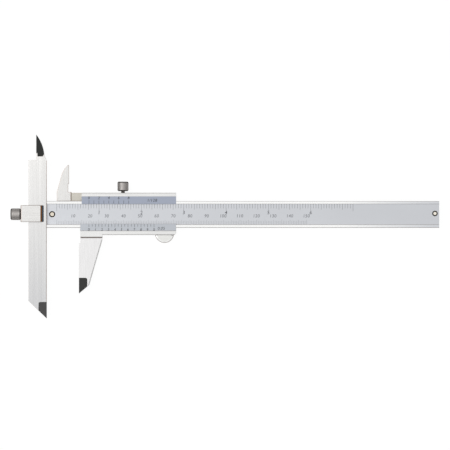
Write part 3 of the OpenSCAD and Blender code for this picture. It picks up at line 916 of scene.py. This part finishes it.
def screwPoints(node, axis, outwards):
    # the screw's inner end, and each corner of its solid as height above that end and radius
    low, high = boxOf(node)
    middle = (low + high) / 2
    base = low.copy() if outwards > 0 else high.copy()
    for other in range(3):
        if other != axis:
            base[other] = middle[other]
    points = []
    for corner in cornersOf(node):
        reach = corner - base
        along = reach[axis] * outwards
        points.append((along, math.sqrt(max(0, reach.length_squared - along * along))))
    return base, points


def knurledScrew(name, node, body, axis, outwards):
    base, points = screwPoints(node, axis, outwards)
    chamfer, ledge = headLook["chamfer"], headLook["ledge"]
    top = max(height for height, radius in points)
    headR = max(radius for height, radius in points)
    footR = max(radius for height, radius in points if height < near)
    shoulder = min(height for height, radius in points if radius > footR + ledge)
    nextR = min(radius for height, radius in points
                if height < shoulder + near and radius > footR + ledge)
    fullR = headLook["fullWidth"] * headR
    widest = min(height for height, radius in points if radius > fullR)
    under = widest - chamfer
    if shoulder > under - ledge:
        shoulder = under            # this one has no dog, so its shank runs up to the head
    shankR = footR if shoulder == under else nextR

    profile = [(0, 0), (0, footR)]
    if shoulder < under:
        profile += [(shoulder, footR), (shoulder, shankR)]
    start = profile[-1][0]
    row = headLook["threadPitch"] / headLook["rowsPerTurn"]
    profile += [(start + row * count, shankR) for count in range(1, int((under - start) / row))]
    profile += [(under, shankR), (under, headR - chamfer), (widest, headR)]
    knurlFrom = widest + headLook["rim"]
    knurlTo = top - chamfer - headLook["rim"]
    ridge = 2 * math.pi * headR / headLook["ridges"]
    count = round((knurlTo - knurlFrom) / ridge * headLook["stepsPerRidge"])
    profile += [(knurlFrom + (knurlTo - knurlFrom) * part / count, headR)
                for part in range(count + 1)]
    profile += [(top - chamfer, headR), (top, headR - chamfer), (top, 0)]

    blank = addObject(name, turned(profile, headLook["ridges"] * headLook["stepsPerRidge"]))
    mesh = runTree(blank, knurlCutter, {
        "Ridges": float(headLook["ridges"]), "Knurl depth": headLook["knurlDepth"] * mm,
        "Climb": headLook["knurlLead"] / (ridge * mm),
        "Knurl from": (knurlFrom - near) * mm, "Knurl to": (knurlTo + near) * mm,
        "Smallest radius": fullR * mm,
        "Thread pitch": headLook["threadPitch"] * mm,
        "Thread depth": headLook["threadDepth"] * mm,
        "Thread from": (start + near) * mm, "Thread to": (under - near) * mm,
        "Finish": knurledSteel})
    blank.data = mesh
    mesh.materials.append(chamferShade)
    for face in mesh.polygons:
        height = face.center.z / mm
        onChamfer = under - near < height < widest - near or height > top - chamfer
        face.material_index = 1 if onChamfer and face.normal.z < headLook["endRise"] else 0
    direction = Vector((0, 0, 0))
    direction[axis] = outwards
    mesh.transform(Matrix.Translation(base * mm)
                   @ direction.to_track_quat("Z", "Y").to_matrix().to_4x4())
    shadeRound(mesh, headLook["round"])
    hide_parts(node)
    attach(blank, body)


knurledSteel = evenMetal("knurledSteel", edgeTint=headLook["edgeTint"], **headLook["steel"])
chamferShade = evenMetal("chamferShade", edgeTint=headLook["edgeTint"],
                         **headLook["chamferShade"])
knurlCutter = knurlTree()
knurledScrew("ClampScrew", "clamp_screw", "clamp_screw", 0, -1)
knurledScrew("LockScrew", "lock_screw", "lock_screw", 1, 1)
print("screws made")


# pieces inside and behind, which keep their own solids

innerLook = {
    "brass": {"tone": tone(205, 172, 108), "roughness": 0.35, "grain": (300, 1800, 1800)},
    "screw": {"tone": tone(120, 118, 116), "roughness": 0.38, "grain": evenGrain},
}
brass = metal("brass", innerLook["brass"])
darkScrew = metal("darkScrew", innerLook["screw"])
for innerNode, finish in (("clamp_shoe", brass), ("gib_strip", brass), ("lock_pad", brass),
                          ("inside_jaw_screws", darkScrew), ("gib_screws", darkScrew),
                          ("thumb_rest_pin", pinSteels[1])):
    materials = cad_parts[innerNode].data.materials
    materials.clear()
    materials.append(finish)
print("inner pieces finished")


# floor, light and camera

stageLook = {
    "floorSize": 6.0,
    "floorTone": (0.9, 0.9, 0.9, 1), "floorRoughness": 0.8,
    "floorWhite": 1.03,
    "floorGlow": 0.93,              # share of the floor's white that takes no shadow
    "floorShine": 0.35,             # the same share where metal reflects the floor
    "zenith": 1.3, "horizon": 0.2,
    "farSide": 0.08,                # how much brighter the sky is towards the inside jaws
    "lampPower": 1.9, "lampSize": 0.6, "lampPlace": (-0.5, 0.15, 0.7),
    "fieldWidth": 0.27,             # what the photograph shows across, in metres
    "cameraHeight": 2.5,
    "sensor": 36,
    "centre": (0.00003, 0.0009),
}


def makeFloor():
    mesh = bpy.data.meshes.new("Floor")
    half = stageLook["floorSize"] / 2
    mesh.from_pydata([(-half, -half, 0), (half, -half, 0), (half, half, 0), (-half, half, 0)],
                     [], [(0, 1, 2, 3)])
    floor = addObject("Floor", mesh)
    material, tree, shader = newMaterial("whiteFloor")
    fill(shader, {"Base Color": stageLook["floorTone"], "Specular IOR Level": 0,
                  "Roughness": stageLook["floorRoughness"]})
    glow = addNode(tree, "ShaderNodeEmission", {"Strength": stageLook["floorWhite"]})
    ray = addNode(tree, "ShaderNodeLightPath").outputs
    shiny = maths(tree, "MAXIMUM", ray["Is Glossy Ray"], ray["Is Transmission Ray"])
    shine = maths(tree, "MULTIPLY", shiny, stageLook["floorShine"])
    share = maths(tree, "MULTIPLY_ADD", ray["Is Camera Ray"], stageLook["floorGlow"], shine)
    mixed = addNode(tree, "ShaderNodeMixShader", {0: share, 1: shader, 2: glow})
    fill(tree.get_output_node("ALL"), {"Surface": mixed})
    arrange(tree)
    mesh.materials.append(material)


def makeSky():
    world = bpy.data.worlds.new("studio")
    bpy.context.scene.world = world
    world.use_nodes = True
    tree = world.node_tree
    tree.nodes.clear()
    where = addNode(tree, "ShaderNodeTexCoord").outputs["Generated"]
    apart = addNode(tree, "ShaderNodeSeparateXYZ", {"Vector": where}).outputs
    rise = mapRange(tree, apart["Z"], 0, 1, stageLook["horizon"], stageLook["zenith"])
    light = maths(tree, "MULTIPLY_ADD", apart["Y"], stageLook["farSide"], rise)
    ray = addNode(tree, "ShaderNodeLightPath").outputs
    pick = addNode(tree, "ShaderNodeMix", {"Factor": ray["Is Camera Ray"], "A": light, "B": 1},
                   data_type="FLOAT")
    sky = addNode(tree, "ShaderNodeBackground", {"Strength": pick})
    addNode(tree, "ShaderNodeOutputWorld", {"Surface": sky})
    arrange(tree)


def makeLamp():
    light = bpy.data.lights.new("softBox", "AREA")
    light.energy = stageLook["lampPower"]
    light.size = stageLook["lampSize"]
    lamp = addObject("softBox", light)
    lamp.location = stageLook["lampPlace"]
    lamp.rotation_euler = (-lamp.location).to_track_quat("-Z", "Y").to_euler()


def makeCamera():
    lens = bpy.data.cameras.new("camera")
    lens.sensor_width = stageLook["sensor"]
    lens.lens = stageLook["sensor"] * stageLook["cameraHeight"] / stageLook["fieldWidth"]
    lens.clip_start = 0.05
    lens.clip_end = 20
    camera = addObject("camera", lens)
    camera.location = (*stageLook["centre"], satinZ * mm + stageLook["cameraHeight"])
    bpy.context.scene.camera = camera


makeFloor()
makeSky()
makeLamp()
makeCamera()
bpy.context.scene.view_settings.view_transform = "Standard"
print("studio made")
